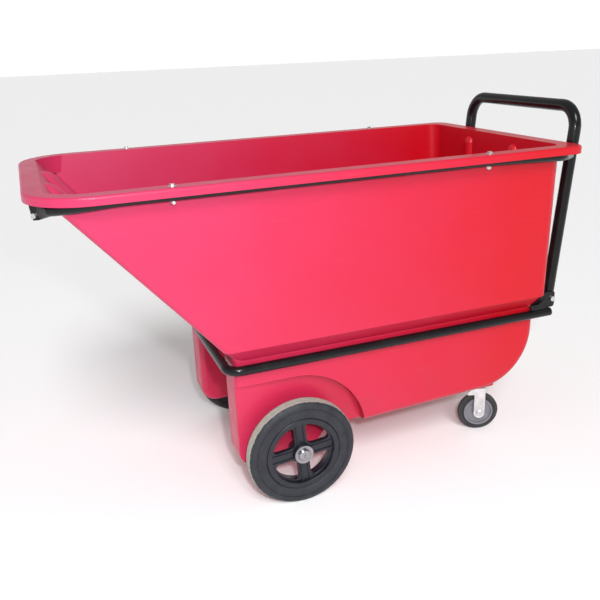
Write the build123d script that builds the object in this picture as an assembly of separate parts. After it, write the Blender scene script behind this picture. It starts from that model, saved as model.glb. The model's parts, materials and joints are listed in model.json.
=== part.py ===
from build123d import *
import os
from math import atan, cos, degrees, pi, radians, sin, tan

# Self-dumping tilt truck: a moulded hopper on a bent-tube frame, two fixed wheels, two swivel casters.
# All sizes are in millimetres. X runs from the front lip (0) to the push handle, Y is across, Z is up.
# place() moves every finished piece so that the origin is the centre of the overall length, on the floor.

# ---- driving dimensions: hopper ----
RIM_LENGTH = 1407.0
RIM_WIDTH = 724.0
RIM_HEIGHT = 910.0
WALL = 6.0
LIP_DROP = 20.0            # height of the turned-down lip, measured from the rim's top face
FLANGE_SIDE = 44.0         # rim outer edge to the inner wall
FLANGE_FRONT = 50.0
FLANGE_REAR = 51.0
RIM_FRONT_R = 142.0        # plan radius of the rim's outer corners
RIM_REAR_R = 42.0
MOUTH_FRONT_R = 20.0       # plan radius of the upper body's corners at the mouth
MOUTH_REAR_R = 40.0
LEDGE_FRONT_R = 16.0       # the same corners at the ledge
LEDGE_REAR_R = 22.0
CHUTE_ANGLE = 49.7         # front slope, from the horizontal
LEDGE_HEIGHT = 480.0       # where the wide upper body ends
LEDGE_WIDTH = 610.0        # width of the upper body at the ledge
LEDGE_DEPTH = 46.0         # height of the slanting ledge
LOWER_WIDTH = 518.0        # width of the lower body
FLOOR_HEIGHT = 190.0       # underside of the hopper floor where the rear curve starts
FLOOR_RISE = 2.0           # degrees, rising to the rear
REAR_SWEEP_R = 170.0       # large radius from the floor to the rear wall
CHUTE_FOOT_R = 60.0        # radius from the chute to the floor
LOWER_EDGE_R = 24.0        # soft edge along the chute, floor and rear sweep

# ---- driving dimensions: wheel pods under the chute ----
POD_FRONT = 434.0          # front face of the pods
POD_INNER = 155.0          # distance of the pods' inner faces from the centre plane
POD_HEIGHT = 117.0         # underside of the pods
POD_NOSE_R = 45.0
POD_FOOT = 646.0           # where the pods' underside starts to rise
POD_HEEL = 692.0           # where it meets the floor
POD_EDGE_R = 16.0
ARCH_R = 208.0             # wheel-arch radius about the axle
ARCH_DEPTH_FRONT = 9.0     # depth of the arch recess at the pod's front face
ARCH_DEPTH_REAR = 34.0     # and at its rear end
AXLE_SLEEVE_WALL = 8.0     # moulded sleeve that carries the axle through each pod

# ---- driving dimensions: stiffening ribs ----
REAR_RIB_Y = 112.0
REAR_RIB_R = 13.0          # outside groove; the rib inside is one wall larger
REAR_RIB_FOOT = 330.0
RIB_TOP_DROP = 14.0        # rib ends below the mouth
CHUTE_RIB_Y = 97.0
CHUTE_RIB_R = 34.0         # outside groove
CHUTE_RIB_DEPTH = 18.0     # how far the rib stands into the hopper
CHUTE_RIB_TOP = 872.0      # height of the upper end of the rib's centre line
CHUTE_RIB_LENGTH = 330.0

# ---- driving dimensions: frame ----
RAIL_DIA = 25.4
TUBE_WALL = 2.0
CRIMP_TAPER = 34.0         # length over which the rail's front end is pressed flat
CRIMP_FLAT = 16.0
CRIMP_HEIGHT = 36.0
CRIMP_THICK = 5.0
RAIL_Y = 340.0             # centre of the level part of the rails
RAIL_TURN_R = 123.0        # where they turn in round the rim's front corners
RAIL_ARC_X = 142.0         # start of that turn
RAIL_TURN_Z = 885.5
RAIL_NOSE = (17.5, 872.5)  # X and height of their front ends
RAIL_SEAT_Z = 869.0
RAIL_LEVEL_X = (190.0, 1116.0)        # between these the rails run level
RAIL_KNEE = (1344.0, 884.5)           # X and height where they turn in behind the hopper
RAIL_KNEE_R = 45.0
RAIL_END_Z = 866.0                    # height at which they meet the uprights
LOOP_HEIGHT = 413.0        # centre of the lower loop
LOOP_FRONT_X = 416.0       # centre of its front segment
LOOP_END_X = 1402.0
LOOP_BEND_R = 34.0
HANDLE_DIA = 33.4
HANDLE_HALF_WIDTH = 249.0  # centre of each upright from the centre plane
HANDLE_TOP = 998.0         # centre height of the grip
HANDLE_RIM_X = 1452.0      # upright centre at rim height
HANDLE_LEAN = 5.2          # degrees, leaning back at the top
HANDLE_FOOT = 428.0        # lower end of the uprights
HANDLE_BEND_R = 62.0
BRACKET_THICK = 4.0
BRACKET_FRONT_X = 1338.0
BRACKET_REAR_X = 1420.0
BRACKET_TOP = 474.0
BRACKET_BOLT_Z = 452.0
CROSS_BAR_HEIGHT = 30.0
CROSS_BAR_THICK = 4.0

# ---- driving dimensions: main wheels ----
AXLE_X = 596.0
AXLE_DIA = 19.05
WHEEL_DIA = 304.8
WHEEL_WIDTH = 50.0
WHEEL_OUTER_FACE = 311.0   # distance of the tyre's outer face from the centre plane
TYRE_SEAT_R = 104.0        # hub rim radius under the tyre
TYRE_SHOULDER_R = 9.0
HUB_INNER_RIM_R = 90.0
HUB_RIM_WIDTH = 44.0
HUB_BOSS_R = 27.0
HUB_BOSS_LENGTH = 48.0
SPOKE_COUNT = 4
SPOKE_WIDTH = 17.0
SPOKE_DEPTH = 22.0
SPOKE_FLANGE_WIDTH = 30.0
SPOKE_FLANGE_DEPTH = 6.0
SPOKE_START = 5.0          # degrees from +X
BUSH_WALL = 3.0
CAP_R = 17.0
CAP_LENGTH = 8.0
SLEEVE_PROUD = 2.0         # moulded sleeve's end beyond the arch recess

# ---- driving dimensions: casters ----
KINGPIN_X = 1217.0
KINGPIN_Y = 152.0
CASTER_TRAIL = 32.0
CASTER_DIA = 127.0
CASTER_WIDTH = 30.0
CASTER_CORE_R = 46.0
CASTER_BUSH_R = 8.0
CASTER_AXLE_DIA = 9.5
FORK_THICK = 3.5
FORK_GAP = 3.0             # tread to each fork leg
FORK_TOP = 150.0
FORK_HORN = 22.0           # web at the top of the legs, ahead of them
FORK_LEG_WIDTH = 34.0
PLATE_LENGTH = 101.6
PLATE_WIDTH = 82.6
PLATE_THICK = 3.5
PLATE_HOLES_X = 76.2
PLATE_HOLES_Y = 57.2
PLATE_BOLT_DIA = 8.0
RACE_R = 27.0
KINGPIN_DIA = 12.0
KINGPIN_HEAD = 6.0
CASTER_TURN = -20.0        # degrees about the kingpin, as the casters stand at rest
PAD_Z = 165.0              # underside of the moulded caster pads
PAD_LENGTH = 122.0
PAD_WIDTH = 104.0
PAD_R = 14.0

# ---- driving dimensions: fasteners and clearances ----
RIM_BOLT_DIA = 6.35
RIM_BOLT_X = (306.0, 1113.0)
BRACKET_BOLT_DIA = 8.0
NOSE_BOLT_DIA = 6.35
NOSE_BOLT_DROP = 8.0       # bolt below the middle of the flattened rail end
WASHER_THIN = 1.2
PLUG_CAP = 2.0
PLUG_DEPTH = 14.0
FIT = 0.3                  # gap between neighbouring pieces
RUNNING = 0.06             # radial clearance of a turning fit
PRESS = 0.1                # radial clearance of a pressed or screwed fit

# ---- values that follow ----
RIM_HALF = RIM_WIDTH / 2
MOUTH_Z = RIM_HEIGHT - WALL
MOUTH_HALF = RIM_HALF - FLANGE_SIDE + WALL
LEDGE_HALF = LEDGE_WIDTH / 2
LOWER_HALF = LOWER_WIDTH / 2
LEDGE_FOOT = LEDGE_HEIGHT - LEDGE_DEPTH
LEDGE_LEAN = atan((LEDGE_HALF - LOWER_HALF) / LEDGE_DEPTH)
CHUTE_SLOPE = tan(radians(CHUTE_ANGLE))
CHUTE_SHIFT = WALL / sin(radians(CHUTE_ANGLE))
CHUTE_TOP_X = FLANGE_FRONT - CHUTE_SHIFT
REAR_X = RIM_LENGTH - FLANGE_REAR + WALL
AXLE_Z = WHEEL_DIA / 2
WHEEL_Y = WHEEL_OUTER_FACE - WHEEL_WIDTH / 2
HANDLE_TILT = tan(radians(HANDLE_LEAN))
RAIL_R = RAIL_DIA / 2
RAIL_CORNER = (RAIL_ARC_X - RAIL_TURN_R * tan(pi / 8), RAIL_Y, RAIL_TURN_Z)
RAIL_Z = MOUTH_Z - FIT - RAIL_R
LOOP_Y = LOWER_HALF + FIT + RAIL_R
HANDLE_R = HANDLE_DIA / 2
AXLE_HALF = WHEEL_Y + HUB_BOSS_LENGTH / 2 + CAP_LENGTH / 2


def handle_x(z):
    """Centre of the uprights at height z."""
    return HANDLE_RIM_X + (z - RIM_HEIGHT) * HANDLE_TILT


OVERALL_LENGTH = handle_x(HANDLE_TOP) + HANDLE_R


def caster_bolt_places():
    """Plate bolt centres of both casters."""
    return [(KINGPIN_X + sx * PLATE_HOLES_X / 2, side * KINGPIN_Y + sy * PLATE_HOLES_Y / 2)
            for side in (1, -1) for sx in (1, -1) for sy in (1, -1)]


def chute_x(z, inset=0.0):
    """X of the chute's outer face at height z, or of its inner face with inset WALL."""
    return CHUTE_TOP_X + (MOUTH_Z - z) / CHUTE_SLOPE + inset / sin(radians(CHUTE_ANGLE))


def floor_z(x, inset=0.0):
    """Height of the floor's underside at x, or of its top face with inset WALL."""
    return FLOOR_HEIGHT + inset - (REAR_X - REAR_SWEEP_R - x) * tan(radians(FLOOR_RISE))


def plan_face(x0, x1, half_width, z, front_r, rear_r):
    """Rectangle in plan at height z with rounded front and rear corners."""
    corners = [(x0, -half_width), (x1, -half_width), (x1, half_width), (x0, half_width)]
    radii = [front_r, rear_r, rear_r, front_r]
    edges = []
    for i in range(4):
        (ax, ay), r = corners[i], radii[i]
        (px, py), (nx, ny) = corners[i - 1], corners[(i + 1) % 4]
        back = Vector(px - ax, py - ay).normalized() * r
        ahead = Vector(nx - ax, ny - ay).normalized() * r
        start = Vector(ax, ay, z) + back
        end = Vector(ax, ay, z) + ahead
        centre = Vector(ax, ay, z) + back + ahead
        middle = centre + (Vector(ax, ay, z) - centre).normalized() * r
        edges.append((start, middle, end))
    outline = []
    for i in range(4):
        start, middle, end = edges[i]
        following = edges[(i + 1) % 4][0]
        outline.append(ThreePointArc(start, middle, end).edge())
        outline.append(Line(end, following).edge())
    return Face(Wire(outline))


def across(profile, y0, y1):
    """Prism of an XZ profile (list of points or a closed wire face) between two Y values."""
    face = profile if isinstance(profile, (Face, Sketch)) else make_face(Polyline(*profile, close=True))
    solid = extrude(Plane.XZ * face, amount=y1 - y0)
    return Pos(0, y1, 0) * solid


def rod(x, y0, y1, z, radius):
    """Cylinder along Y."""
    return Pos(x, (y0 + y1) / 2, z) * Rot(90, 0, 0) * Cylinder(radius, abs(y1 - y0))


def post(x, y, z0, z1, radius):
    """Cylinder along Z."""
    return Pos(x, y, (z0 + z1) / 2) * Cylinder(radius, z1 - z0)


def box(x0, x1, y0, y1, z0, z1):
    return Pos((x0 + x1) / 2, (y0 + y1) / 2, (z0 + z1) / 2) * Box(x1 - x0, y1 - y0, z1 - z0)


def arch_face_y(x):
    """Y of the arch recess's outer face at x, on the +Y side."""
    run = ARCH_R + AXLE_X - POD_FRONT
    return LOWER_HALF - ARCH_DEPTH_FRONT - (x - POD_FRONT) * (ARCH_DEPTH_REAR - ARCH_DEPTH_FRONT) / run


SLEEVE_END = arch_face_y(AXLE_X) + SLEEVE_PROUD


# ---- hopper ----
def ledge_shift(inset):
    """Rise of the ledge's two creases on the inner face, so that the slanting wall keeps its thickness."""
    return inset * tan(LEDGE_LEAN / 2)


def upper_body(inset, top):
    """Drafted upper part between the ledge and the mouth."""
    draft = (MOUTH_HALF - LEDGE_HALF) / (MOUTH_Z - LEDGE_HEIGHT)
    low = LEDGE_HEIGHT + ledge_shift(inset)
    sections = []
    for z, front_r, rear_r in ((low, LEDGE_FRONT_R, LEDGE_REAR_R), (top, MOUTH_FRONT_R, MOUTH_REAR_R)):
        half = LEDGE_HALF + (z - LEDGE_HEIGHT) * draft - inset
        sections.append(plan_face(chute_x(z, inset), REAR_X - inset, half, z,
                                  front_r - inset, rear_r - inset))
    return loft(sections, ruled=True)


def ledge_body(inset):
    """Slanting ledge that narrows the hopper down to the lower body."""
    top, low = LEDGE_HEIGHT + ledge_shift(inset), LEDGE_FOOT + ledge_shift(inset)
    wide = plan_face(chute_x(top, inset), REAR_X - inset, LEDGE_HALF - inset, top,
                     LEDGE_FRONT_R - inset, LEDGE_REAR_R - inset)
    narrow = plan_face(chute_x(low, inset), REAR_X - inset, LOWER_HALF - inset, low,
                       LOWER_EDGE_R - inset, LOWER_EDGE_R - inset)
    return loft([wide, narrow], ruled=True)


def soften_sides(body, half_width, radius, top):
    """Round the long edges on both sides of a prism across Y, but not its top."""
    edges = [e for e in body.edges()
             if abs(abs(e.center().Y) - half_width) < 0.01 and e.center().Z < top - 0.01]
    return fillet(edges, radius)


def lower_body(inset):
    """Chute foot, floor and swept rear wall."""
    rear = REAR_X - inset
    sweep_r = REAR_SWEEP_R - inset
    sweep_x = rear - sweep_r
    start_z = floor_z(REAR_X - REAR_SWEEP_R, inset)
    foot_x = chute_x(FLOOR_HEIGHT, inset)
    for _ in range(8):
        foot_x = chute_x(floor_z(foot_x, inset), inset)
    knee = (sweep_x + sweep_r * sin(pi / 4), start_z + sweep_r * (1 - cos(pi / 4)))
    top = LEDGE_FOOT + ledge_shift(inset)
    profile = Polyline((chute_x(top, inset), top), (foot_x, floor_z(foot_x, inset)), (sweep_x, start_z))
    sweep_arc = ThreePointArc((sweep_x, start_z), knee, (rear, start_z + sweep_r))
    closing = Polyline((rear, start_z + sweep_r), (rear, top), (chute_x(top, inset), top))
    face = make_face(profile + sweep_arc + closing)
    foot = face.vertices().sort_by_distance(Vector(foot_x, floor_z(foot_x, inset)))[0]
    face = fillet(foot, CHUTE_FOOT_R + inset)
    half = LOWER_HALF - inset
    return soften_sides(across(face, -half, half), half, LOWER_EDGE_R - inset, top)


def pod(side, inset):
    """Hollow foot under the chute that carries the axle and the wheel on one side."""
    inner, outer = POD_INNER + inset, LOWER_HALF - inset
    front = POD_FRONT + inset
    low = POD_HEIGHT + inset
    top = LEDGE_FOOT + 2 * WALL
    heel, heel_z = POD_HEEL - inset / 2, floor_z(POD_HEEL, inset)
    foot = POD_FOOT - inset / 2
    back = heel + 5 * WALL
    back_z = heel_z + (heel_z - low) * (back - heel) / (heel - foot)
    outline = Polyline((front, top), (front, low), (foot, low), (back, back_z), (back, top), close=True)
    face = make_face(outline)
    nose = face.vertices().sort_by_distance(Vector(front, low))[0]
    face = fillet(nose, POD_NOSE_R - inset)
    middle, half = (inner + outer) / 2, (outer - inner) / 2
    body = across(face, -half, half)
    rounded = [e for e in body.edges() if abs(abs(e.center().Y) - half) < 0.01
               and e.center().X < back - 0.01 and e.center().Z < top - 0.01]
    return Pos(0, side * middle, 0) * fillet(rounded, POD_EDGE_R - inset)


def caster_pad(side, inset):
    """Flat-bottomed boss under the floor that one caster plate bolts to."""
    x0, x1 = KINGPIN_X - PAD_LENGTH / 2 + inset, KINGPIN_X + PAD_LENGTH / 2 - inset
    y0, y1 = KINGPIN_Y - PAD_WIDTH / 2 + inset, KINGPIN_Y + PAD_WIDTH / 2 - inset
    block = box(x0, x1, y0, y1, PAD_Z + inset, PAD_Z + PAD_WIDTH / 2 + inset)
    block = fillet(block.edges().filter_by(Axis.Z), PAD_R - inset)
    return Pos(0, (side - 1) * KINGPIN_Y, 0) * block


def arch_cutter(side, inset):
    """Wheel-arch recess: everything outboard of a slanting plane, inside an arch about the axle."""
    r = ARCH_R + inset
    arch = Pos(AXLE_X, WHEEL_Y, AXLE_Z) * Rot(90, 0, 0) * Cylinder(r, WHEEL_WIDTH * 4)
    nose = box(AXLE_X - 2 * ARCH_R, AXLE_X, WHEEL_Y - WHEEL_WIDTH * 2, WHEEL_Y + WHEEL_WIDTH * 2,
               0, AXLE_Z + r)
    run = ARCH_R + AXLE_X - POD_FRONT
    turn = degrees(atan((ARCH_DEPTH_REAR - ARCH_DEPTH_FRONT) / run))
    face_y = LOWER_HALF - ARCH_DEPTH_FRONT - inset
    beyond = box(-3 * ARCH_R, 3 * ARCH_R, 0, 2 * ARCH_R, 0, 3 * ARCH_R)
    outboard = Pos(POD_FRONT, face_y, 0) * Rot(0, 0, -turn) * beyond
    cutter = (arch + nose) & outboard
    return cutter if side > 0 else mirror(cutter, about=Plane.XZ)


def rear_ribs(radius):
    """Half-round ribs up the rear wall, as rods on its outer face."""
    top = MOUTH_Z - RIB_TOP_DROP
    rods = []
    for y in (-REAR_RIB_Y, REAR_RIB_Y):
        rods.append(post(REAR_X, y, REAR_RIB_FOOT, top - radius, radius))
        rods += [Pos(REAR_X, y, z) * Sphere(radius) for z in (REAR_RIB_FOOT, top - radius)]
    return rods


def chute_ribs(radius):
    """Wider and flatter ribs up the chute, as rods whose axes lie outside it."""
    lean = 90 - CHUTE_ANGLE
    out = CHUTE_RIB_R - CHUTE_RIB_DEPTH
    rods = []
    for y in (-CHUTE_RIB_Y, CHUTE_RIB_Y):
        spine = Pos(chute_x(CHUTE_RIB_TOP), y, CHUTE_RIB_TOP) * Rot(0, -lean, 0) * Pos(-out, 0, 0)
        rods.append(spine * Pos(0, 0, -CHUTE_RIB_LENGTH / 2) * Cylinder(radius, CHUTE_RIB_LENGTH))
        rods += [spine * Pos(0, 0, -z) * Sphere(radius) for z in (0, CHUTE_RIB_LENGTH)]
    return rods


def rail_seat(side, inset):
    """Relief in the hopper's front corner where the rail turns round it."""
    radius = RAIL_TURN_R - RAIL_R - FIT * 2 - inset
    low = RAIL_SEAT_Z - inset
    corner = box(0, RAIL_ARC_X, RAIL_Y - RAIL_TURN_R, RIM_HALF, low, RIM_HEIGHT + LIP_DROP)
    cutter = corner - post(RAIL_ARC_X, RAIL_Y - RAIL_TURN_R, low - WALL, RIM_HEIGHT + 2 * LIP_DROP, radius)
    return cutter if side > 0 else mirror(cutter, about=Plane.XZ)


def hopper_form(inset):
    """Solid form of the hopper's outside (inset 0) or of its cavity (inset WALL)."""
    top = MOUTH_Z if inset == 0 else RIM_HEIGHT + LIP_DROP
    body = upper_body(inset, top) + ledge_body(inset) + lower_body(inset)
    for side in (1, -1):
        body += pod(side, inset)
        body += caster_pad(side, inset)
    for side in (1, -1):
        body -= arch_cutter(side, inset)
        body -= rail_seat(side, inset)
    grow = WALL if inset else 0
    for cutter in rear_ribs(REAR_RIB_R + grow) + chute_ribs(CHUTE_RIB_R + grow):
        body -= cutter
    return body


def make_hopper():
    """Rim with its turned-down lip on the moulded shell."""
    lip_foot = RIM_HEIGHT - LIP_DROP
    rim = extrude(plan_face(0, RIM_LENGTH, RIM_HALF, lip_foot, RIM_FRONT_R, RIM_REAR_R), LIP_DROP)
    rim = fillet(rim.edges().group_by(Axis.Z)[-1], WALL)
    under = extrude(plan_face(WALL, RIM_LENGTH - WALL, RIM_HALF - WALL, lip_foot,
                              RIM_FRONT_R - WALL, RIM_REAR_R - WALL), LIP_DROP - WALL)
    shell = (rim - under) + hopper_form(0)
    shell -= hopper_form(WALL)
    axle_r = AXLE_DIA / 2 + FIT
    for side in (1, -1):
        shell += rod(AXLE_X, side * (POD_INNER + WALL / 2), side * SLEEVE_END, AXLE_Z,
                     axle_r + AXLE_SLEEVE_WALL)
    shell -= rod(AXLE_X, -RIM_HALF, RIM_HALF, AXLE_Z, axle_r)
    for x in RIM_BOLT_X:
        for side in (1, -1):
            shell -= post(x, side * RAIL_Y, lip_foot, RIM_HEIGHT + WALL, RIM_BOLT_DIA / 2 + FIT)
    for x, y in caster_bolt_places():
        shell -= post(x, y, PAD_Z - WALL, PAD_Z + 3 * WALL, PLATE_BOLT_DIA / 2 + FIT)
    return shell


# ---- frame ----
def bent_path(points, bends):
    """Wire through the points with a rounded bend at each inner one."""
    edges, start = [], Vector(*points[0])
    for i, radius in enumerate(bends, 1):
        corner = Vector(*points[i])
        back = (Vector(*points[i - 1]) - corner).normalized()
        ahead = (Vector(*points[i + 1]) - corner).normalized()
        half_turn = (pi - radians(back.get_angle(ahead))) / 2
        tangent = radius * tan(half_turn)
        middle = corner + (back + ahead).normalized() * (radius / cos(half_turn) - radius)
        edges.append(Line(start, corner + back * tangent).edge())
        edges.append(ThreePointArc(corner + back * tangent, middle, corner + ahead * tangent).edge())
        start = corner + ahead * tangent
    edges.append(Line(start, Vector(*points[-1])).edge())
    return Wire(edges)


def tube(points, radius, bends):
    """Round tube along a path with rounded bends."""
    path = bent_path(points, bends)
    section = Circle(radius) - Circle(radius - TUBE_WALL)
    return sweep((path ^ 0) * section, path=path)


def upright(side, grow=0.0):
    """Solid cylinder along one upright of the push handle."""
    low, high = HANDLE_FOOT - RAIL_DIA, HANDLE_TOP - HANDLE_BEND_R
    lean = Vector(handle_x(high) - handle_x(low), 0, high - low)
    middle = Vector((handle_x(high) + handle_x(low)) / 2, side * HANDLE_HALF_WIDTH, (high + low) / 2)
    return Plane(origin=middle, z_dir=lean) * Cylinder(HANDLE_R + grow, lean.length)


def nose_frame(side):
    """Frame at the rail's front end: Z along the rail, X out of the flattened face, away from the hopper."""
    corner = Vector(RAIL_CORNER[0], side * RAIL_Y, RAIL_TURN_Z)
    nose = Vector(RAIL_NOSE[0], side * (RAIL_Y - (RAIL_CORNER[0] - RAIL_NOSE[0])), RAIL_NOSE[1])
    along = corner - nose
    return Plane(origin=nose, x_dir=(-side * along.Y, side * along.X, 0), z_dir=along)


def make_side_rail(side):
    nose = nose_frame(side)
    crimp = CRIMP_FLAT + CRIMP_TAPER
    points = [nose.from_local_coords(Vector(0, 0, crimp)), (RAIL_CORNER[0], side * RAIL_Y, RAIL_TURN_Z)]
    points += [(x, side * RAIL_Y, RAIL_Z) for x in RAIL_LEVEL_X]
    points += [(RAIL_KNEE[0], side * RAIL_Y, RAIL_KNEE[1]),
               (handle_x(RAIL_END_Z), side * HANDLE_HALF_WIDTH, RAIL_END_Z)]
    rail = tube(points, RAIL_R, (RAIL_TURN_R, RAIL_TURN_R, RAIL_TURN_R, RAIL_KNEE_R))
    round_end = nose * Pos(0, 0, crimp) * Circle(RAIL_R)
    flat_end = nose * Pos(0, 0, CRIMP_FLAT) * Ellipse(CRIMP_THICK / 2, CRIMP_HEIGHT / 2)
    rail += loft([round_end, flat_end], ruled=True)
    flat = nose * Pos(0, 0, CRIMP_FLAT / 2) * Box(CRIMP_THICK, CRIMP_HEIGHT, CRIMP_FLAT)
    rail += flat
    rail -= nose_bolt_hole(side)
    for x in RIM_BOLT_X:
        rail -= post(x, side * RAIL_Y, RAIL_Z - RAIL_DIA, RAIL_Z + RAIL_DIA, RIM_BOLT_DIA / 2 + FIT)
    return rail - upright(side, FIT)


def nose_bolt_place(side):
    """Frame of the cross-bar bolt: Z out of the flattened face."""
    nose = nose_frame(side)
    origin = nose.from_local_coords(Vector(0, 0, CRIMP_FLAT / 2)) - Vector(0, 0, NOSE_BOLT_DROP)
    return Plane(origin=origin, x_dir=nose.z_dir, z_dir=nose.x_dir)


def nose_bolt_hole(side):
    return nose_bolt_place(side) * Cylinder(NOSE_BOLT_DIA / 2 + FIT, 8 * CRIMP_THICK)


def make_front_cross_bar():
    """Flat bar under the front flange with a bent ear against each flattened rail end."""
    offset = CRIMP_THICK / 2 + FIT + CROSS_BAR_THICK / 2
    bar = None
    for side in (1, -1):
        nose = nose_frame(side)
        low, high = -2 * CROSS_BAR_THICK, CRIMP_FLAT
        ear = nose * Pos(-offset, 0, (low + high) / 2) * Box(CROSS_BAR_THICK, CROSS_BAR_HEIGHT, high - low)
        ear -= nose_bolt_hole(side)
        corner = nose.from_local_coords(Vector(-offset, 0, low + CROSS_BAR_THICK / 2))
        bar = ear if bar is None else bar + ear
    half = abs(corner.Y)
    return bar + Pos(corner.X, 0, corner.Z) * Box(CROSS_BAR_THICK, 2 * half, CROSS_BAR_HEIGHT)


def bolt(dia, length, head_r, head_height):
    """Hex bolt: underside of the head at Z 0, shank downwards."""
    head = extrude(RegularPolygon(head_r, 6), head_height)
    return head + Pos(0, 0, -length / 2) * Cylinder(dia / 2, length)


def nut(dia, outer_r, height):
    """Hex nut: upper face at Z 0."""
    body = extrude(RegularPolygon(outer_r, 6), -height)
    return body - Pos(0, 0, -height / 2) * Cylinder(dia / 2 + PRESS, 2 * height)


def washer(inner_r, outer_r, thick):
    """Plain washer: upper face at Z 0."""
    return Pos(0, 0, -thick / 2) * (Cylinder(outer_r, thick) - Cylinder(inner_r, 2 * thick))


def make_cross_bar_bolts():
    """A bolt through each flattened rail end and bar ear, with its nut behind the ear."""
    grip = CRIMP_THICK + CROSS_BAR_THICK + 3 * FIT
    nut_height = 0.8 * NOSE_BOLT_DIA
    pieces = []
    for side in (1, -1):
        place = nose_bolt_place(side)
        piece = bolt(NOSE_BOLT_DIA, grip + nut_height + 2, NOSE_BOLT_DIA, 0.7 * NOSE_BOLT_DIA)
        piece += Pos(0, 0, -grip) * extrude(RegularPolygon(NOSE_BOLT_DIA, 6), -nut_height)
        pieces.append(place * Pos(0, 0, CRIMP_THICK / 2 + FIT) * piece)
    return pieces


def make_lower_loop():
    points = [(LOOP_END_X, -LOOP_Y, LOOP_HEIGHT), (LOOP_FRONT_X, -LOOP_Y, LOOP_HEIGHT),
              (LOOP_FRONT_X, LOOP_Y, LOOP_HEIGHT), (LOOP_END_X, LOOP_Y, LOOP_HEIGHT)]
    return tube(points, RAIL_R, (LOOP_BEND_R, LOOP_BEND_R))


def plug(tube_r):
    """End plug: cap just outside the tube's end, spigot inside it. Tube's end at Z 0, tube below."""
    bore = tube_r - TUBE_WALL
    cap = Pos(0, 0, FIT + PLUG_CAP / 2) * Cylinder(tube_r, PLUG_CAP)
    cap = fillet(cap.edges().group_by(Axis.Z)[-1], PLUG_CAP * 0.6)
    return cap + Pos(0, 0, (FIT - PLUG_DEPTH) / 2) * Cylinder(bore - PRESS, PLUG_DEPTH + FIT)


def make_loop_end_plugs():
    return [Plane(origin=(LOOP_END_X, side * LOOP_Y, LOOP_HEIGHT), z_dir=(1, 0, 0)) * plug(RAIL_R)
            for side in (1, -1)]


def make_push_handle():
    high, low = handle_x(HANDLE_TOP), handle_x(HANDLE_FOOT)
    half = HANDLE_HALF_WIDTH
    handle = tube([(low, -half, HANDLE_FOOT), (high, -half, HANDLE_TOP), (high, half, HANDLE_TOP),
                   (low, half, HANDLE_FOOT)], HANDLE_R, (HANDLE_BEND_R, HANDLE_BEND_R))
    x = handle_x(BRACKET_BOLT_Z)
    return handle - rod(x, -RIM_HALF, RIM_HALF, BRACKET_BOLT_Z, BRACKET_BOLT_DIA / 2 + FIT)


def make_handle_foot_plugs():
    lean = Vector(-HANDLE_TILT, 0, -1)
    x = handle_x(HANDLE_FOOT)
    return [Plane(origin=(x, side * HANDLE_HALF_WIDTH, HANDLE_FOOT), z_dir=lean) * plug(HANDLE_R)
            for side in (1, -1)]


def make_corner_bracket(side):
    """Gusset that joins the loop's end to the upright and reaches under the hopper's ledge."""
    near = HANDLE_HALF_WIDTH + HANDLE_R + FIT
    far = near + BRACKET_THICK
    gap = FIT / sin(LEDGE_LEAN)
    thick = BRACKET_THICK / sin(LEDGE_LEAN)
    run = tan(LEDGE_LEAN)
    low = LOOP_HEIGHT + RAIL_R + FIT
    tip = LEDGE_HALF - BRACKET_THICK / 2

    def under_ledge(y, drop):
        return LEDGE_FOOT + (y - LOWER_HALF) / run - drop

    outline = [(near, low), (near, under_ledge(near, gap)), (tip, under_ledge(tip, gap)),
               (tip, under_ledge(tip, gap + thick)), (far, under_ledge(far, gap + thick)), (far, low)]
    strip = make_face(Polyline(*[(y, z) for y, z in outline], close=True))
    strip = Pos(BRACKET_FRONT_X, 0, 0) * extrude(Plane.YZ * strip, REAR_X + FIT - BRACKET_FRONT_X)
    plate = box(REAR_X + FIT, BRACKET_REAR_X, near, far, low, BRACKET_TOP)
    plate = fillet(plate.edges().filter_by(Axis.Y).sort_by(Axis.X)[-2:], 2 * BRACKET_THICK)
    bracket = strip + plate
    x = handle_x(BRACKET_BOLT_Z)
    bracket -= rod(x, near - WALL, far + WALL, BRACKET_BOLT_Z, BRACKET_BOLT_DIA / 2 + FIT)
    return bracket if side > 0 else mirror(bracket, about=Plane.XZ)


def make_bracket_bolts():
    """A bolt through each corner bracket and upright, with its nut on the inner side."""
    grip = 2 * HANDLE_R + BRACKET_THICK + 3 * FIT
    nut_height = 0.8 * BRACKET_BOLT_DIA
    pieces = []
    for side in (1, -1):
        y = side * (HANDLE_HALF_WIDTH + HANDLE_R + BRACKET_THICK + 2 * FIT)
        piece = bolt(BRACKET_BOLT_DIA, grip + nut_height + 2, BRACKET_BOLT_DIA, 0.65 * BRACKET_BOLT_DIA)
        piece += Pos(0, 0, -grip) * extrude(RegularPolygon(BRACKET_BOLT_DIA, 6), -nut_height)
        pieces.append(Plane(origin=(handle_x(BRACKET_BOLT_Z), y, BRACKET_BOLT_Z), z_dir=(0, side, 0)) * piece)
    return pieces


def rim_bolt_places():
    return [(x, side * RAIL_Y) for x in RIM_BOLT_X for side in (1, -1)]


def make_rim_bolts():
    nut_height = 0.8 * RIM_BOLT_DIA
    length = RIM_HEIGHT - RAIL_Z + RAIL_R + nut_height + 5 * FIT + 2.5
    top = RIM_HEIGHT + WASHER_THIN + 2 * FIT
    return [Pos(x, y, top) * bolt(RIM_BOLT_DIA, length, RIM_BOLT_DIA, 0.65 * RIM_BOLT_DIA)
            for x, y in rim_bolt_places()]


def make_rim_washers():
    return [Pos(x, y, RIM_HEIGHT + WASHER_THIN + FIT)
            * washer(RIM_BOLT_DIA / 2 + FIT, 1.5 * RIM_BOLT_DIA, WASHER_THIN) for x, y in rim_bolt_places()]


def make_rim_nuts():
    return [Pos(x, y, RAIL_Z - RAIL_R - FIT) * nut(RIM_BOLT_DIA, RIM_BOLT_DIA, 0.8 * RIM_BOLT_DIA)
            for x, y in rim_bolt_places()]


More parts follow.
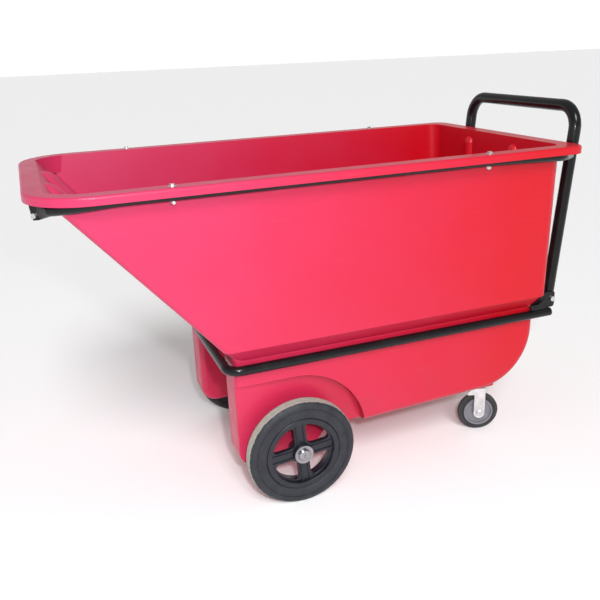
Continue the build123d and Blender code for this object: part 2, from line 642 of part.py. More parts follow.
# ---- main wheels ----
def make_axle():
    return rod(AXLE_X, -AXLE_HALF, AXLE_HALF, AXLE_Z, AXLE_DIA / 2)


def make_axle_spacers():
    """Tube between each pod and its wheel hub."""
    pieces = []
    for side in (1, -1):
        y0, y1 = SLEEVE_END + FIT, WHEEL_Y - HUB_BOSS_LENGTH / 2 - FIT
        radius = AXLE_DIA / 2
        ring = rod(AXLE_X, y0, y1, AXLE_Z, radius + BUSH_WALL + 1)
        ring -= rod(AXLE_X, 0, RIM_HALF, AXLE_Z, radius + PRESS)
        pieces.append(ring if side > 0 else mirror(ring, about=Plane.XZ))
    return pieces


def make_push_caps():
    """Domed caps pressed on the axle ends; they keep the wheels on."""
    pieces = []
    for side in (1, -1):
        face = WHEEL_Y + HUB_BOSS_LENGTH / 2 + FIT
        cap = Cylinder(CAP_R, CAP_LENGTH, align=(Align.CENTER, Align.CENTER, Align.MIN))
        cap = fillet(cap.edges().group_by(Axis.Z)[-1], CAP_LENGTH * 0.6)
        cap -= Cylinder(AXLE_DIA / 2 + PRESS, 2 * (AXLE_HALF + FIT - face))
        pieces.append(Plane(origin=(AXLE_X, side * face, AXLE_Z), z_dir=(0, side, 0)) * cap)
    return pieces


def wheel_place(side):
    """Frame of one main wheel: Z along the axle, outwards."""
    return Plane(origin=(AXLE_X, side * WHEEL_Y, AXLE_Z), x_dir=(1, 0, 0), z_dir=(0, side, 0))


def make_wheel_hub(side):
    rim_inner = Cylinder(HUB_INNER_RIM_R, 2 * HUB_RIM_WIDTH)
    hub = Cylinder(TYRE_SEAT_R - PRESS, HUB_RIM_WIDTH) - rim_inner
    hub += Cylinder(HUB_BOSS_R, HUB_BOSS_LENGTH)
    for i in range(SPOKE_COUNT):
        turn = Rot(0, 0, -side * SPOKE_START + i * 360 / SPOKE_COUNT)
        reach = (HUB_BOSS_R + HUB_INNER_RIM_R) / 2
        length = HUB_INNER_RIM_R - HUB_BOSS_R + 2 * WALL
        web = Pos(reach, 0, 0) * Box(length, SPOKE_WIDTH, SPOKE_DEPTH)
        flange = Pos(reach, 0, -SPOKE_DEPTH / 2) * Box(length, SPOKE_FLANGE_WIDTH, SPOKE_FLANGE_DEPTH)
        hub += turn * (web + flange)
    hub -= Cylinder(AXLE_DIA / 2 + RUNNING + BUSH_WALL + PRESS, 2 * HUB_BOSS_LENGTH)
    return wheel_place(side) * hub


def make_hub_bush(side):
    inner = AXLE_DIA / 2 + RUNNING
    bush = Cylinder(inner + BUSH_WALL, HUB_BOSS_LENGTH) - Cylinder(inner, 2 * HUB_BOSS_LENGTH)
    return wheel_place(side) * bush


def make_wheel_tyre(side):
    tyre = Cylinder(WHEEL_DIA / 2, WHEEL_WIDTH)
    tyre = fillet(tyre.edges(), TYRE_SHOULDER_R)
    return wheel_place(side) * (tyre - Cylinder(TYRE_SEAT_R, 2 * WHEEL_WIDTH))


# ---- casters ----
def caster_base(side):
    """Frame of the swivel axis on the floor, not turned."""
    return Pos(KINGPIN_X, side * KINGPIN_Y, 0)


def caster_place(side):
    """Frame of the swivelling part as it stands at rest."""
    return caster_base(side) * Rot(0, 0, CASTER_TURN)


def make_caster_plate(side):
    top = PAD_Z - FIT
    plate = Pos(0, 0, top - PLATE_THICK / 2) * Box(PLATE_LENGTH, PLATE_WIDTH, PLATE_THICK)
    plate = fillet(plate.edges().filter_by(Axis.Z), PLATE_BOLT_DIA)
    race = post(0, 0, FORK_TOP + FIT, top - PLATE_THICK, RACE_R)
    plate += fillet(race.edges().group_by(Axis.Z)[0], PLATE_THICK / 2)
    for sx in (1, -1):
        for sy in (1, -1):
            plate -= post(sx * PLATE_HOLES_X / 2, sy * PLATE_HOLES_Y / 2, FORK_TOP, PAD_Z,
                          PLATE_BOLT_DIA / 2 + FIT)
    plate -= post(0, 0, FORK_TOP - WALL, PAD_Z + WALL, KINGPIN_DIA / 2 + PRESS)
    return caster_base(side) * plate


def make_kingpin(side):
    """Swivel pin riveted into the plate, with its head under the fork's crown."""
    head_top = FORK_TOP - FORK_THICK - FIT
    pin = post(0, 0, head_top - 1, PAD_Z - FIT, KINGPIN_DIA / 2)
    head = post(0, 0, head_top - KINGPIN_HEAD, head_top, KINGPIN_DIA * 0.8)
    return caster_base(side) * (pin + fillet(head.edges().group_by(Axis.Z)[0], KINGPIN_HEAD / 2))


def make_caster_bolts():
    """Low-headed bolts inside the hopper, down through pad and plate."""
    length = WALL + PLATE_THICK + 0.8 * PLATE_BOLT_DIA + 5 * FIT + 1.5
    head = Pos(0, 0, 1.5) * Cylinder(PLATE_BOLT_DIA * 1.2, 3)
    head = fillet(head.edges().group_by(Axis.Z)[-1], 1.8)
    piece = head + Pos(0, 0, -length / 2) * Cylinder(PLATE_BOLT_DIA / 2, length)
    return [Pos(x, y, PAD_Z + WALL + FIT) * piece for x, y in caster_bolt_places()]


def make_caster_nuts():
    top = PAD_Z - PLATE_THICK - 2 * FIT
    piece = nut(PLATE_BOLT_DIA, 0.85 * PLATE_BOLT_DIA, 0.8 * PLATE_BOLT_DIA)
    return [Pos(x, y, top) * piece for x, y in caster_bolt_places()]


def make_caster_fork(side):
    leg_y = CASTER_WIDTH / 2 + FORK_GAP + FORK_THICK / 2
    width = 2 * leg_y + FORK_THICK
    half = FORK_LEG_WIDTH / 2
    x0, x1 = -RACE_R, CASTER_TRAIL + half
    crown = box(x0, x1, -width / 2, width / 2, FORK_TOP - FORK_THICK, FORK_TOP)
    crown = fillet(crown.edges().filter_by(Axis.Z).sort_by(Axis.X)[:2], width / 2 - 0.5)
    fork = crown
    for sy in (1, -1):
        y0, y1 = sy * leg_y - FORK_THICK / 2, sy * leg_y + FORK_THICK / 2
        leg = box(CASTER_TRAIL - half, CASTER_TRAIL + half, y0, y1, CASTER_DIA / 2, FORK_TOP)
        horn = box(CASTER_TRAIL - half - FORK_HORN, CASTER_TRAIL, y0, y1, FORK_TOP - FORK_HORN, FORK_TOP)
        horn = chamfer(horn.edges().filter_by(Axis.Y).sort_by(Axis.X)[0:1], FORK_HORN * 0.7)
        foot = rod(CASTER_TRAIL, y0, y1, CASTER_DIA / 2, half)
        fork += leg + horn + foot
    fork -= rod(CASTER_TRAIL, -width, width, CASTER_DIA / 2, CASTER_AXLE_DIA / 2 + PRESS)
    fork -= post(0, 0, 0, PAD_Z, KINGPIN_DIA / 2 + RUNNING)
    return caster_place(side) * fork


def make_caster_axle(side):
    """Bolt through fork, spacer bush and wheel, with its nut."""
    face = CASTER_WIDTH / 2 + FORK_GAP + FORK_THICK + FIT
    nut_height = 0.7 * CASTER_AXLE_DIA
    piece = bolt(CASTER_AXLE_DIA, 2 * face + nut_height + 1.5, 0.95 * CASTER_AXLE_DIA, 0.6 * CASTER_AXLE_DIA)
    piece += Pos(0, 0, -2 * face) * extrude(RegularPolygon(0.95 * CASTER_AXLE_DIA, 6), -nut_height)
    return caster_place(side) * Pos(CASTER_TRAIL, -face, CASTER_DIA / 2) * Rot(90, 0, 0) * piece


def make_caster_bush(side):
    length = CASTER_WIDTH + 2 * FORK_GAP - 2 * FIT
    bush = Cylinder(CASTER_BUSH_R, length) - Cylinder(CASTER_AXLE_DIA / 2 + PRESS, 2 * length)
    return caster_place(side) * Pos(CASTER_TRAIL, 0, CASTER_DIA / 2) * Rot(90, 0, 0) * bush


def make_caster_wheel(side):
    length = CASTER_WIDTH + FORK_GAP
    core = Cylinder(CASTER_CORE_R - PRESS, CASTER_WIDTH * 0.8)
    for end in (1, -1):
        core -= Pos(0, 0, end * CASTER_WIDTH / 2) * (Cylinder(CASTER_CORE_R - WALL, CASTER_WIDTH / 2)
                                                     - Cylinder(CASTER_BUSH_R + WALL, CASTER_WIDTH))
    core += Cylinder(CASTER_BUSH_R + WALL, length)
    core -= Cylinder(CASTER_BUSH_R + RUNNING, 2 * length)
    return caster_place(side) * Pos(CASTER_TRAIL, 0, CASTER_DIA / 2) * Rot(90, 0, 0) * core


def make_caster_tread(side):
    tread = Cylinder(CASTER_DIA / 2, CASTER_WIDTH)
    tread = fillet(tread.edges(), CASTER_WIDTH / 4) - Cylinder(CASTER_CORE_R, 2 * CASTER_WIDTH)
    return caster_place(side) * Pos(CASTER_TRAIL, 0, CASTER_DIA / 2) * Rot(90, 0, 0) * tread


# ---- placing and export ----
def place(shape):
    """Move a finished piece, or a list of like pieces, to the shared origin."""
    shift = Pos(-OVERALL_LENGTH / 2, 0, 0)
    if isinstance(shape, list):
        return Compound(children=[(shift * s).solid() for s in shape])
    return (shift * shape).solid()


SIDES = {"left": 1, "right": -1}
NODES = {
    "hopper": make_hopper(),
    "front_cross_bar": make_front_cross_bar(),
    "cross_bar_bolts": make_cross_bar_bolts(),
    "lower_loop": make_lower_loop(),
    "loop_end_plugs": make_loop_end_plugs(),
    "push_handle": make_push_handle(),
    "handle_foot_plugs": make_handle_foot_plugs(),
    "bracket_bolts": make_bracket_bolts(),
    "rim_bolts": make_rim_bolts(),
    "rim_washers": make_rim_washers(),
    "rim_nuts": make_rim_nuts(),
    "axle": make_axle(),
    "axle_spacers": make_axle_spacers(),
    "push_caps": make_push_caps(),
    "caster_bolts": make_caster_bolts(),
    "caster_nuts": make_caster_nuts(),
}
for name, side in SIDES.items():
    NODES["side_rail_" + name] = make_side_rail(side)
    NODES["corner_bracket_" + name] = make_corner_bracket(side)
    NODES["wheel_hub_" + name] = make_wheel_hub(side)
    NODES["hub_bush_" + name] = make_hub_bush(side)
    NODES["wheel_tyre_" + name] = make_wheel_tyre(side)
    NODES["caster_plate_" + name] = make_caster_plate(side)
    NODES["kingpin_" + name] = make_kingpin(side)
    NODES["caster_fork_" + name] = make_caster_fork(side)
    NODES["caster_axle_" + name] = make_caster_axle(side)
    NODES["caster_bush_" + name] = make_caster_bush(side)
    NODES["caster_wheel_" + name] = make_caster_wheel(side)
    NODES["caster_tread_" + name] = make_caster_tread(side)

os.makedirs("parts", exist_ok=True)
for node, shape in NODES.items():
    export_step(place(shape), "parts/" + node + ".step")
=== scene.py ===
import json
import math

import bmesh
import bpy
from mathutils import Matrix, Vector


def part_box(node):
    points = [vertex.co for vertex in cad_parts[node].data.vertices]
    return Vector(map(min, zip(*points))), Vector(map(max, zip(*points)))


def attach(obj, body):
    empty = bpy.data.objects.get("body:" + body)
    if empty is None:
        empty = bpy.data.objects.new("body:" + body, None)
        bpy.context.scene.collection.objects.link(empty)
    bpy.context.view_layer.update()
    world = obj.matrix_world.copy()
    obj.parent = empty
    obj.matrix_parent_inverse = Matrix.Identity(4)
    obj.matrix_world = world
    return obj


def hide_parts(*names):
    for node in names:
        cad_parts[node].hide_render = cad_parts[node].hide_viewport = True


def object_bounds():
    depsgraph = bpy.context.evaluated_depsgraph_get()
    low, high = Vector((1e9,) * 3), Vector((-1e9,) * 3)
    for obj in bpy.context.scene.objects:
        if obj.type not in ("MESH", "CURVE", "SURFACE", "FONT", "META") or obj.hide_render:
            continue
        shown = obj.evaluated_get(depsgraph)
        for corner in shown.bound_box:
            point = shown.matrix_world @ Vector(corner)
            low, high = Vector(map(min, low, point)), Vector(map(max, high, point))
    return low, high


# Looks of the self-dumping tilt truck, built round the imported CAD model. Metres, row frame:
# +X toward the push handle, -Y the side the camera sees, +Z up, floor at Z 0.

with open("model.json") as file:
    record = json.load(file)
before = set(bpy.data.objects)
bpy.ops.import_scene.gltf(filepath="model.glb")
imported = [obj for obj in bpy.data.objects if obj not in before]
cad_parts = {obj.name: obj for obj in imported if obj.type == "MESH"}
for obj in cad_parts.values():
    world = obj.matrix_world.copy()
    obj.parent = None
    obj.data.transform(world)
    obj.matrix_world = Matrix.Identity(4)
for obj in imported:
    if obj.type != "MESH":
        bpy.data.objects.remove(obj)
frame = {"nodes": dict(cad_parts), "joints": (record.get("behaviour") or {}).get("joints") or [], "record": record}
CAD_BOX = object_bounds()
RECORD = frame["record"]
NODES = frame["nodes"]
SLOT_OF = {part["node"]: part["material_slot"] for part in RECORD["subparts"]}
SIDES = {"left": 1, "right": -1}


# ---- shader helpers ----
class Shader:
    """A Principled material that is built node by node, over object space."""

    def __init__(self, name, color, roughness, metallic=0.0, coat=0.0, specular=0.5):
        self.material = bpy.data.materials.new(name)
        self.material.use_nodes = True
        self.tree = self.material.node_tree
        self.bsdf = self.tree.nodes["Principled BSDF"]
        self.bsdf.inputs["Base Color"].default_value = (*color, 1)
        self.bsdf.inputs["Roughness"].default_value = roughness
        self.bsdf.inputs["Metallic"].default_value = metallic
        self.bsdf.inputs["Coat Weight"].default_value = coat
        self.bsdf.inputs["Specular IOR Level"].default_value = specular
        self.place = self.add("ShaderNodeTexCoord").outputs["Object"]

    def add(self, kind, **settings):
        node = self.tree.nodes.new(kind)
        for name, value in settings.items():
            setattr(node, name, value)
        return node

    def feed(self, socket, value):
        if isinstance(value, bpy.types.NodeSocket):
            self.tree.links.new(value, socket)
        else:
            socket.default_value = value

    def noise(self, scale, detail=4.0, roughness=0.55, stretch=(1, 1, 1)):
        """Noise over object space, 0 to 1."""
        mapping = self.add("ShaderNodeMapping")
        self.feed(mapping.inputs["Vector"], self.place)
        mapping.inputs["Scale"].default_value = stretch
        node = self.add("ShaderNodeTexNoise")
        self.feed(node.inputs["Vector"], mapping.outputs["Vector"])
        node.inputs["Scale"].default_value = scale
        node.inputs["Detail"].default_value = detail
        node.inputs["Roughness"].default_value = roughness
        return node.outputs["Fac"]

    def math(self, operation, a, b=0.0, clamp=False):
        node = self.add("ShaderNodeMath", operation=operation, use_clamp=clamp)
        self.feed(node.inputs[0], a)
        self.feed(node.inputs[1], b)
        return node.outputs["Value"]

    def remap(self, value, low, high, to_low=0.0, to_high=1.0):
        """Clamped linear map of value from low..high to to_low..to_high."""
        node = self.add("ShaderNodeMapRange")
        self.feed(node.inputs["Value"], value)
        limits = {"From Min": low, "From Max": high, "To Min": to_low, "To Max": to_high}
        for name, number in limits.items():
            node.inputs[name].default_value = number
        return node.outputs["Result"]

    def mix(self, factor, a, b):
        """Colour mix of a and b, each a plain colour or a socket."""
        node = self.add("ShaderNodeMix", data_type="RGBA")
        self.feed(node.inputs["Factor"], factor)
        colour_inputs = [s for s in node.inputs if s.type == "RGBA"]
        for socket, value in zip(colour_inputs, (a, b)):
            self.feed(socket, value if isinstance(value, bpy.types.NodeSocket) else (*value, 1))
        return [s for s in node.outputs if s.type == "RGBA"][0]

    def color(self, socket):
        self.feed(self.bsdf.inputs["Base Color"], socket)

    def roughness(self, socket):
        self.feed(self.bsdf.inputs["Roughness"], socket)

    def bump(self, *heights):
        """Chain of bumps, each (height socket, strength, distance in metres)."""
        normal = None
        for height, strength, distance in heights:
            node = self.add("ShaderNodeBump")
            node.inputs["Strength"].default_value = strength
            node.inputs["Distance"].default_value = distance
            self.feed(node.inputs["Height"], height)
            if normal:
                self.feed(node.inputs["Normal"], normal)
            normal = node.outputs["Normal"]
        self.feed(self.bsdf.inputs["Normal"], normal)

    def axis(self, index):
        node = self.add("ShaderNodeSeparateXYZ")
        self.feed(node.inputs["Vector"], self.place)
        return node.outputs[index]


# ---- materials ----
RED_DEEP = (0.54, 0.002, 0.012)
# Pink-red of the painted sheen: it stands for lamp glare on the plastic, not the plastic's own colour.
RED_PAINTED_SHEEN = (0.54, 0.030, 0.105)


def hopper_plastic():
    """Glossy red polyethylene, a little paler toward the pouring end as painted sheen (lamp glare painted into the
    colour), with scuffs and grime low down.
    """
    s = Shader("hopper_plastic", (0.56, 0.015, 0.05), 0.42, coat=0.25, specular=0.25)
    s.bsdf.inputs["Coat Roughness"].default_value = 0.16
    cloud = s.math("MULTIPLY", s.noise(2.2, 3.0), 0.5)
    # Painted sheen: the colour turns paler toward the pouring end (low X) to stand in for lamp glare, mixed with
    # random tone clouds.
    painted_sheen_and_tone = s.math("ADD", s.remap(s.axis(0), 0.55, -0.60, -0.25, 0.75), cloud, clamp=True)
    base = s.mix(painted_sheen_and_tone, RED_DEEP, RED_PAINTED_SHEEN)
    scuff = s.remap(s.noise(26.0, 8.0, 0.7, (0.35, 1.0, 3.0)), 0.60, 0.74)
    worn = s.mix(s.math("MULTIPLY", scuff, 0.10), base, (0.66, 0.16, 0.18))
    low = s.remap(s.axis(2), 0.34, 0.10)
    grime = s.math("MULTIPLY", low, s.remap(s.noise(14.0, 6.0), 0.42, 0.66))
    s.color(s.mix(s.math("MULTIPLY", grime, 0.25), worn, (0.30, 0.05, 0.05)))
    rough = s.math("ADD", s.remap(s.noise(9.0, 5.0), 0.3, 0.7, 0.36, 0.48), s.math("MULTIPLY", scuff, 0.12))
    s.roughness(s.math("ADD", rough, s.math("MULTIPLY", grime, 0.15), clamp=True))
    s.bump((s.noise(3.4, 2.0), 0.22, 0.004), (s.noise(420.0, 2.0), 0.08, 0.0003))
    return s.material


def frame_paint():
    s = Shader("frame_paint", (0.006, 0.006, 0.007), 0.22, coat=0.2, specular=0.2)
    chip = s.remap(s.noise(120.0, 6.0, 0.7), 0.72, 0.75)
    dust = s.remap(s.noise(18.0, 6.0), 0.45, 0.75)
    base = s.mix(s.math("MULTIPLY", dust, 0.3), (0.005, 0.005, 0.006), (0.018, 0.017, 0.016))
    s.color(s.mix(s.math("MULTIPLY", chip, 0.5), base, (0.09, 0.085, 0.08)))
    s.roughness(s.remap(dust, 0.0, 1.0, 0.18, 0.34))
    s.bump((s.noise(60.0, 3.0), 0.12, 0.0008))
    return s.material


def plated(name, color, low, high):
    s = Shader(name, color, low, metallic=1.0)
    patch = s.noise(45.0, 5.0)
    dull = tuple(0.72 * c for c in color)
    s.color(s.mix(s.remap(patch, 0.35, 0.7), color, dull))
    s.roughness(s.remap(s.noise(160.0, 4.0), 0.3, 0.7, low, high))
    s.bump((s.noise(300.0, 3.0), 0.15, 0.0003))
    return s.material


def moulded(name, color, roughness, spread=0.25):
    s = Shader(name, color, roughness)
    light = tuple(c * (1 + spread) + 0.004 for c in color)
    dark = tuple(c * (1 - spread) for c in color)
    s.color(s.mix(s.remap(s.noise(30.0, 5.0), 0.3, 0.7), dark, light))
    s.roughness(s.remap(s.noise(55.0, 5.0), 0.3, 0.7, roughness - 0.08, roughness + 0.10))
    s.bump((s.noise(380.0, 3.0), 0.2, 0.0004))
    return s.material


def rubber(name, dark, dusty, tread_radius):
    """Dark rubber whose tread is paler with dust. The radius is measured about each wheel's own axle."""
    s = Shader(name, dark, 0.6)
    radius = s.add("ShaderNodeAttribute", attribute_name="wheel_radius").outputs["Fac"]
    mottle = s.noise(70.0, 6.0, 0.65)
    edge = s.math("ADD", radius, s.remap(mottle, 0.3, 0.7, -0.0012, 0.0012))
    tread = s.remap(edge, tread_radius - 0.0015, tread_radius)
    wall = s.mix(s.remap(s.noise(35.0, 6.0), 0.35, 0.75), dark, tuple(1.6 * c + 0.006 for c in dark))
    pale = s.mix(s.remap(mottle, 0.35, 0.7), dusty, tuple(0.7 * c for c in dusty))
    s.color(s.mix(tread, wall, pale))
    s.roughness(s.remap(s.noise(90.0, 5.0), 0.3, 0.7, 0.48, 0.72))
    s.bump((s.noise(260.0, 5.0), 0.25, 0.0005))
    return s.material


MATERIALS = {
    "hopper_plastic": hopper_plastic(),
    "frame_paint": frame_paint(),
    "zinc": plated("zinc", (0.86, 0.87, 0.88), 0.26, 0.44),
    "cap_steel": plated("cap_steel", (0.40, 0.40, 0.43), 0.10, 0.30),
    "plug_plastic": moulded("plug_plastic", (0.02, 0.02, 0.02), 0.5),
    "hub_plastic": moulded("hub_plastic", (0.007, 0.009, 0.016), 0.34),
    "bush_plastic": moulded("bush_plastic", (0.62, 0.60, 0.54), 0.5, 0.08),
    "tyre_rubber": rubber("tyre_rubber", (0.009, 0.011, 0.016), (0.36, 0.35, 0.30), 0.1508),
    "caster_core": moulded("caster_core", (0.17, 0.17, 0.19), 0.42, 0.12),
    "caster_rubber": rubber("caster_rubber", (0.022, 0.023, 0.025), (0.06, 0.06, 0.056), 0.0615),
}


def paint_cad_nodes():
    for name, node in NODES.items():
        for i in range(len(node.material_slots)):
            node.material_slots[i].material = MATERIALS[SLOT_OF[name]]


# ---- mesh helpers ----
def new_object(name, mesh, slot):
    piece = bpy.data.objects.new(name, mesh)
    bpy.context.collection.objects.link(piece)
    piece.data.materials.append(MATERIALS[slot])
    return piece


def lathe(name, profile, slot, place, steps=144):
    """Solid of revolution about local Z from a closed profile of (radius, z), put at place."""
    bm = bmesh.new()
    rings = []
    for i in range(steps):
        a = 2 * math.pi * i / steps
        points = [Vector((r * math.cos(a), r * math.sin(a), z)) for r, z in profile]
        rings.append([bm.verts.new(place @ point) for point in points])
    for i in range(steps):
        here, there = rings[i], rings[(i + 1) % steps]
        for j in range(len(profile)):
            k = (j + 1) % len(profile)
            bm.faces.new((here[j], there[j], there[k], here[k]))
    bmesh.ops.recalc_face_normals(bm, faces=bm.faces)
    mesh = bpy.data.meshes.new(name)
    bm.to_mesh(mesh)
    bm.free()
    for face in mesh.polygons:
        face.use_smooth = True
    radius = mesh.attributes.new("wheel_radius", "FLOAT", "POINT")
    for i in range(steps):
        for j, (r, _) in enumerate(profile):
            radius.data[i * len(profile) + j].value = r
    mesh.set_sharp_from_angle(angle=math.radians(40))
    return new_object(name, mesh, slot)


def box_of(node):
    low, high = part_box(node)
    return Vector(low), Vector(high)


def arc(centre, radius, start, end, steps=6):
    """Points of an arc from start to end degrees."""
    points = []
    for i in range(steps + 1):
        a = math.radians(start + (end - start) * i / steps)
        points.append((centre[0] + radius * math.cos(a), centre[1] + radius * math.sin(a)))
    return points


def wheel_frame(node, side):
    """Frame of a main wheel (Z outwards along the axle), with its outer radius and half width."""
    low, high = box_of(node)
    place = Matrix.Translation((low + high) / 2) @ Matrix.Rotation(math.radians(-90 * side), 4, "X")
    return place, (high.x - low.x) / 2, (high.y - low.y) / 2


def joined(name, slot, *parts):
    """One piece made of several closed meshes; the originals are removed."""
    bm = bmesh.new()
    for part in parts:
        bm.from_mesh(part.data)
        bpy.data.objects.remove(part)
    mesh = bpy.data.meshes.new(name)
    bm.to_mesh(mesh)
    bm.free()
    return new_object(name, mesh, slot)


# ---- main tyres ----
SEAT_R = 0.104
LINE_R = 0.1305
LINE_HEIGHT = 0.0018
FLAT_HALF = 0.007          # half width of the flat part of the tread
GROOVE = 0.0018


def wall_profile(outer, half, sign):
    """One sidewall from the seat to the tread: raised line, then a long round shoulder."""
    face = half - LINE_HEIGHT
    points = [(SEAT_R, face - 0.005), (SEAT_R + 0.0015, face - 0.0015), (SEAT_R + 0.004, face)]
    points += [(LINE_R - 0.0016, face), (LINE_R - 0.0008, half),
               (LINE_R + 0.0008, half), (LINE_R + 0.0018, face)]
    start = LINE_R + 0.002
    for i in range(9):
        t = math.radians(90 - 90 * i / 8)
        points.append((start + (outer - start) * math.cos(t), FLAT_HALF + (face - FLAT_HALF) * math.sin(t)))
    return [(r, sign * z) for r, z in points]


def tyre_profile(outer, half):
    """Closed profile of a main tyre with two shallow grooves round the tread."""
    tread = []
    for z in (-0.0035, 0.0035):
        tread += [(outer, z - 0.0018), (outer - GROOVE, z - 0.001),
                  (outer - GROOVE, z + 0.001), (outer, z + 0.0018)]
    return wall_profile(outer, half, -1) + tread + wall_profile(outer, half, 1)[::-1]


def make_tyres():
    for name, side in SIDES.items():
        node = "wheel_tyre_" + name
        place, outer, half = wheel_frame(node, side)
        piece = lathe("tyre_" + name, tyre_profile(outer, half), "tyre_rubber", place)
        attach(piece, "wheel_" + name)
        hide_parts(node)


# ---- hubs ----
SPOKE_START = 5.0
HALF_SPOKE = 0.0155
WINDOW_R = 0.0855
CORNER_R = 0.011
INNER_CORNER_R = 0.020
BOSS_R = 0.0275
BOSS_HALF = 0.024
BOSS_BORE = 0.0127
WEB_HALF = 0.0062
WEB_SOFT = 0.0016
WEB_SHIFT = 0.004          # the web lies this far outboard of the hub's middle
HUB_HALF = 0.022
RIM_INNER_R = 0.089


def window_outline():
    """Quarter window between two spokes, its corners rounded, the spokes along X and Y."""
    c = HALF_SPOKE + CORNER_R
    along = math.sqrt((WINDOW_R - CORNER_R) ** 2 - c * c)
    turn = math.degrees(math.atan2(along, c))
    inner = HALF_SPOKE + INNER_CORNER_R
    outline = arc((c, along), CORNER_R, 180, turn) + arc((0, 0), WINDOW_R, turn, 90 - turn, 14)[1:]
    outline += arc((along, c), CORNER_R, 90 - turn, -90)[1:]
    return outline + arc((inner, inner), INNER_CORNER_R, 270, 180)


def web_plate(place):
    """Disc with four rounded windows, its edges softened."""
    curve = bpy.data.curves.new("web", "CURVE")
    curve.dimensions, curve.fill_mode = "2D", "BOTH"
    curve.extrude, curve.bevel_depth, curve.bevel_resolution = WEB_HALF, WEB_SOFT, 2
    outlines = [arc((0, 0), RIM_INNER_R + 0.004, 0, 360, 96)[:-1]]
    for i in range(4):
        turn = Matrix.Rotation(math.radians(90 * i), 2)
        outlines.append([tuple(turn @ Vector(p)) for p in window_outline()])
    for outline in outlines:
        spline = curve.splines.new("POLY")
        spline.points.add(len(outline) - 1)
        for point, (x, y) in zip(spline.points, outline):
            point.co = (x, y, 0, 1)
        spline.use_cyclic_u = True
    flat = bpy.data.objects.new("web", curve)
    mesh = bpy.data.meshes.new_from_object(flat)
    bpy.data.objects.remove(flat)
    mesh.transform(place)
    return bpy.data.objects.new("web", mesh)


RIDGE_WIDTH = 0.0044
RIDGE_FOOT = 0.004
RIDGE_HEIGHT = 0.0125
RIDGE_SOFT = 0.0018
RIDGE_START = 0.025
RIDGE_Y = 0.0105


def ridge(place, y):
    """Round-topped rib along one edge of a spoke."""
    length = RIM_INNER_R - 0.0235
    bm = bmesh.new()
    bmesh.ops.create_cube(bm, size=1.0)
    for v in bm.verts:
        v.co = Vector((RIDGE_START + (v.co.x + 0.5) * length, y + v.co.y * RIDGE_WIDTH,
                       RIDGE_FOOT + (v.co.z + 0.5) * RIDGE_HEIGHT))
    bmesh.ops.bevel(bm, geom=bm.edges[:], offset=RIDGE_SOFT, segments=3, affect="EDGES")
    mesh = bpy.data.meshes.new("ridge")
    bm.to_mesh(mesh)
    bm.free()
    mesh.transform(place)
    return bpy.data.objects.new("ridge", mesh)


def ring_profile(inner, outer, half, soft):
    """Closed profile of a plain ring with softened edges."""
    points = []
    for r, z, start in ((inner, -half, 180), (outer, -half, 270), (outer, half, 0), (inner, half, 90)):
        sr = soft if r == inner else -soft
        sz = soft if z < 0 else -soft
        points += arc((r + sr, z + sz), soft, start, start + 90, 3)
    return points


def make_hubs():
    for name, side in SIDES.items():
        node = "wheel_hub_" + name
        place, outer, _ = wheel_frame(node, side)
        turned = place @ Matrix.Rotation(math.radians(-side * SPOKE_START), 4, "Z")
        parts = [lathe("rim", ring_profile(RIM_INNER_R, outer, HUB_HALF, 0.002), "hub_plastic", place, 120),
                 lathe("boss", ring_profile(BOSS_BORE, BOSS_R, BOSS_HALF, 0.0015), "hub_plastic", place, 64),
                 web_plate(turned @ Matrix.Translation((0, 0, WEB_SHIFT)))]
        for i in range(4):
            spoke = turned @ Matrix.Rotation(math.radians(90 * i), 4, "Z")
            parts += [ridge(spoke, y) for y in (-RIDGE_Y, RIDGE_Y)]
        piece = joined("hub_" + name, "hub_plastic", *parts)
        for face in piece.data.polygons:
            face.use_smooth = True
        piece.data.set_sharp_from_angle(angle=math.radians(35))
        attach(piece, "wheel_" + name)
        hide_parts(node)


# ---- caster treads ----
CASTER_SEAT_R = 0.046
CASTER_SHOULDER = 0.011
CASTER_LINES = (0.0495, 0.0545)


def caster_profile(outer, half):
    """Closed profile of a caster tread: two raised rings on each side and round shoulders."""
    walls = []
    for sign in (-1, 1):
        points = [(CASTER_SEAT_R, half - 0.0025), (CASTER_SEAT_R + 0.001, half - 0.0012)]
        for r in CASTER_LINES:
            points += [(r - 0.0010, half - 0.0012), (r - 0.0005, half),
                       (r + 0.0005, half), (r + 0.0010, half - 0.0012)]
        centre = (outer - CASTER_SHOULDER * 0.65, half - 0.0012 - CASTER_SHOULDER)
        bead = arc(centre, CASTER_SHOULDER, 90, 0, 8)
        bead = [(outer - (CASTER_SHOULDER - (r - outer + CASTER_SHOULDER * 0.65)) * 0.65, z) for r, z in bead]
        walls.append([(r, sign * z) for r, z in points + bead])
    return walls[0] + walls[1][::-1]


def spin_of(body):
    return next(joint for joint in frame["joints"] if joint["child"] == body)


def make_caster_treads():
    for name in SIDES:
        node = "caster_tread_" + name
        spin = spin_of("caster_wheel_" + name)
        low, high = box_of(node)
        outer = (high.z - low.z) / 2
        axis = Vector(spin["axis"])
        half = ((high.x - low.x) / 2 - outer * axis.y) / axis.x
        place = Matrix.Translation(spin["pos_m"]) @ axis.to_track_quat("Z", "Y").to_matrix().to_4x4()
        piece = lathe("caster_tread_" + name, caster_profile(outer, half), "caster_rubber", place, 96)
        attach(piece, "caster_wheel_" + name)
        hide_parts(node)


# ---- axle caps ----
CAP_FLANGE_R = 0.0262
CAP_HEIGHT = 0.0080
CAP_BORE_R = 0.0101


